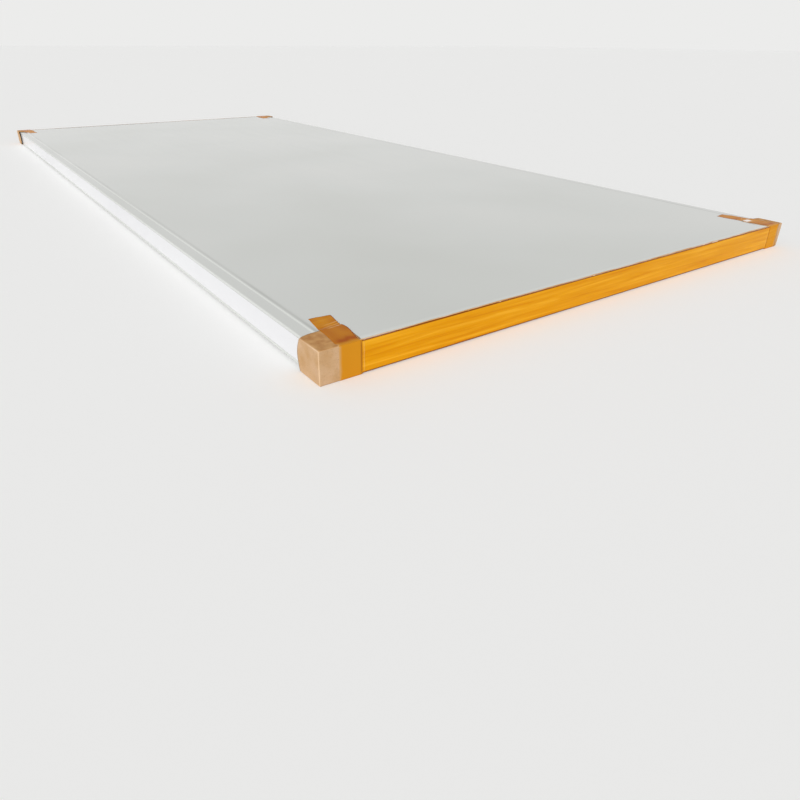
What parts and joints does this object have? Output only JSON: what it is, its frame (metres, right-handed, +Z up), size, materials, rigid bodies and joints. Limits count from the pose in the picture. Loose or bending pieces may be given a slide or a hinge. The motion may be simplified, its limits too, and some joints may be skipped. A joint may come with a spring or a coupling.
{
  "type": "insulated sandwich panel",
  "caption": "Flat insulated wall panel: prepainted steel faces on a mineral wool core, channelled long edges, taped ends and board corner caps.",
  "frame": {"origin": "on the ground below the middle of the panel, which lies flat", "axes": "+X across the panel, +Y along its length, +Z up through its thickness"},
  "size_m": [1.192, 2.6628, 0.0528],
  "materials": {
    "prepainted_steel": "smooth white-grey polyester coil coating, semi-gloss",
    "channel_steel": "white coil coating, satin",
    "mineral_wool": "pressed fibre, matt",
    "amber_tape": "glossy translucent packing film",
    "kraft_board": "uncoated kraft board, matt"
  },
  "bodies": {
    "root": {"top_facing_sheet": "prepainted_steel", "bottom_facing_sheet": "prepainted_steel", "edge_channel_left": "channel_steel", "edge_channel_right": "channel_steel", "insulation_core": "mineral_wool", "end_tape_near": "amber_tape", "end_tape_far": "amber_tape", "corner_cap_near_left": "kraft_board", "corner_cap_near_right": "kraft_board", "corner_cap_far_left": "kraft_board", "corner_cap_far_right": "kraft_board", "cap_tape_near_left": "amber_tape", "cap_tape_near_right": "amber_tape", "cap_tape_far_left": "amber_tape", "cap_tape_far_right": "amber_tape"}
  },
  "joints": []
}
